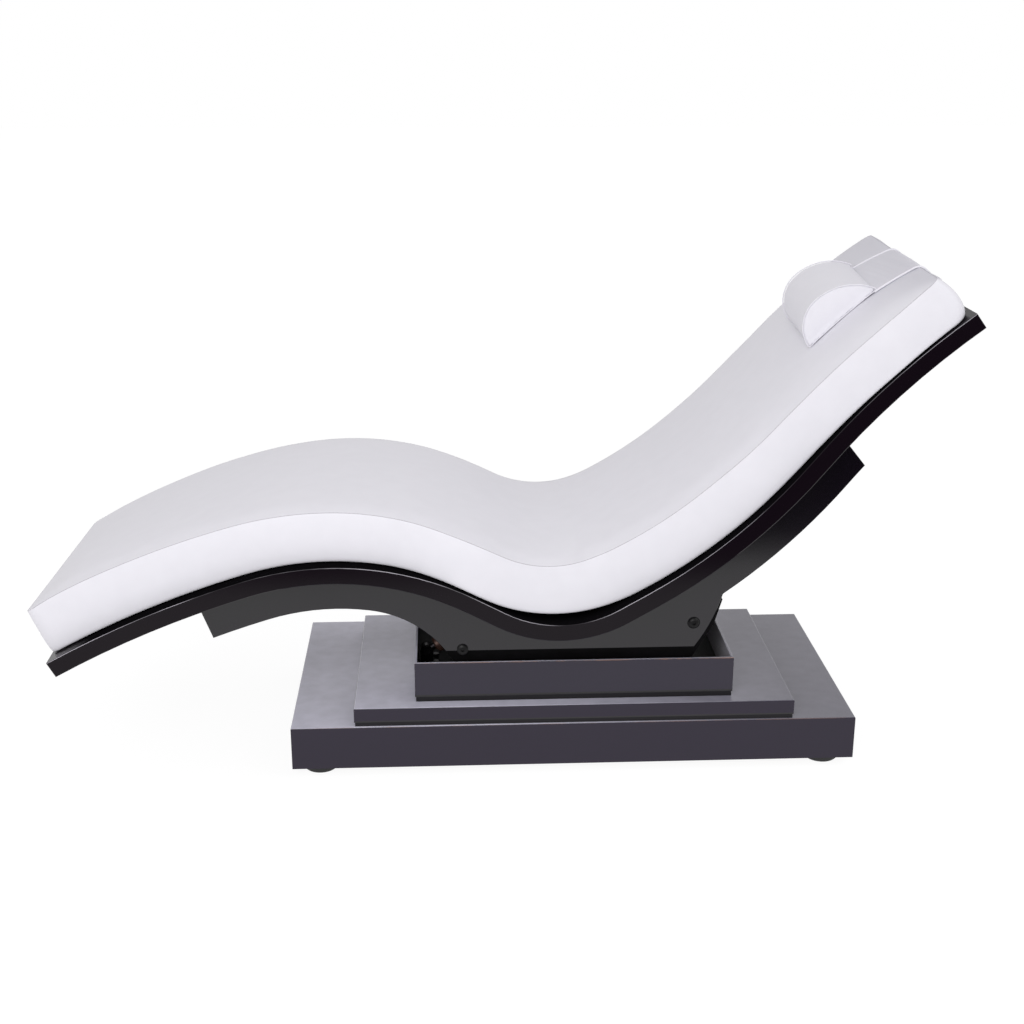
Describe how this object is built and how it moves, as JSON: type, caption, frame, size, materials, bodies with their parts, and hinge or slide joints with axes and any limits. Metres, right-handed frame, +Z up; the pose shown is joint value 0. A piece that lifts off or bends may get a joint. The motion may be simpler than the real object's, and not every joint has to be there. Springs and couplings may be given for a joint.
{
  "type": "spa relaxation lounger",
  "caption": "S-shaped tilting relaxation lounger: white mattress and neck pillow on a glossy bent deck, curved side rails and a stepped dark plinth.",
  "frame": {"origin": "on the floor, under the middle of the whole lounger's bounding box", "axes": "+X towards the head end, +Y towards the lying user's right-hand side, which is the side away from the picture's camera, +Z up"},
  "size_m": [1.987, 0.676, 1.1402],
  "materials": {
    "rubber": "matte",
    "plinth_lacquer": "satin",
    "carcass_board": "matte",
    "packing_black": "matte",
    "tray_lacquer": "satin",
    "tray_black": "matte",
    "cheek_steel": "satin",
    "bright_steel": "satin",
    "cap_steel": "satin",
    "box_plastic": "matte",
    "rail_lacquer": "satin",
    "deck_lacquer": "gloss",
    "cross_wood": "satin",
    "bush_plastic": "matte",
    "hook_tape": "matte",
    "upholstery": "satin",
    "drive_plastic": "matte",
    "drive_tube": "satin"
  },
  "bodies": {
    "base": {"glide_foot_left": "rubber", "glide_foot_right": "rubber", "glide_head_left": "rubber", "glide_head_right": "rubber", "lower_top_board": "plinth_lacquer", "lower_left_skirt": "plinth_lacquer", "lower_right_skirt": "plinth_lacquer", "lower_foot_skirt": "plinth_lacquer", "lower_head_skirt": "plinth_lacquer", "middle_board": "plinth_lacquer", "base_board": "carcass_board", "cross_members": "carcass_board", "middle_packing_board": "packing_black", "tray_packing_board": "packing_black", "tray_left_wall": "tray_lacquer", "tray_right_wall": "tray_lacquer", "tray_foot_wall": "tray_lacquer", "tray_head_wall": "tray_lacquer", "tray_bed": "tray_black", "pivot_cheek_left": "cheek_steel", "pivot_cheek_right": "cheek_steel", "cheek_angle_left": "cheek_steel", "cheek_angle_right": "cheek_steel", "rod_bracket": "cheek_steel", "cheek_bolts": "bright_steel", "bracket_bolts": "bright_steel", "pivot_axle": "bright_steel", "rest_pegs": "bright_steel", "peg_nuts": "bright_steel", "rod_pin": "bright_steel", "pivot_caps": "cap_steel", "peg_caps": "cap_steel", "control_box": "box_plastic", "control_box_lid": "box_plastic", "mains_inlet": "box_plastic"},
    "seat": {"side_rail_left": "rail_lacquer", "side_rail_right": "rail_lacquer", "deck": "deck_lacquer", "cross_rail_foot": "cross_wood", "cross_rail_knee": "cross_wood", "cross_rail_back": "cross_wood", "cross_rail_head": "cross_wood", "pivot_bush_left": "bush_plastic", "pivot_bush_right": "bush_plastic", "deck_cleats": "bright_steel", "lift_pin": "bright_steel", "lift_bar": "cheek_steel", "lift_lugs": "cheek_steel", "hook_strips_foot": "hook_tape", "hook_strips_back": "hook_tape", "mattress": "upholstery", "pillow_counterweight": "upholstery"},
    "actuator": {"actuator_gearbox": "drive_plastic", "actuator_motor": "drive_plastic", "actuator_tube": "drive_tube", "actuator_collar": "drive_tube"},
    "rod": {"actuator_rod": "bright_steel", "rod_eye": "bright_steel"},
    "neck_pillow": {"pillow": "upholstery", "pillow_flap": "upholstery"}
  },
  "joints": [
    {"name": "seat_tilt", "type": "hinge", "parent": "base", "child": "seat", "pos_m": [0.43811, 0, 0.3431], "axis": [0, 1, 0], "range_deg": [0, 10]},
    {"name": "actuator_swing", "type": "hinge", "parent": "seat", "child": "actuator", "pos_m": [0.03021, -0.06, 0.322], "axis": [0, 1, 0], "range_deg": [-24.5, 0]},
    {"name": "rod_extension", "type": "slide", "parent": "actuator", "child": "rod", "axis": [-0.8607, 0, -0.509], "range_m": [0, 0.045]},
    {"name": "pillow_flip", "type": "hinge", "parent": "seat", "child": "neck_pillow", "pos_m": [0.88359, -0.058, 1.13996], "axis": [0, 1, 0], "range_deg": [0, 135]}
  ],
  "couplings": [
    {"joint": "actuator_swing", "follows": "seat_tilt", "ratio": -2.3721},
    {"joint": "rod_extension", "follows": "seat_tilt", "m_per_rad": 0.24628}
  ]
}
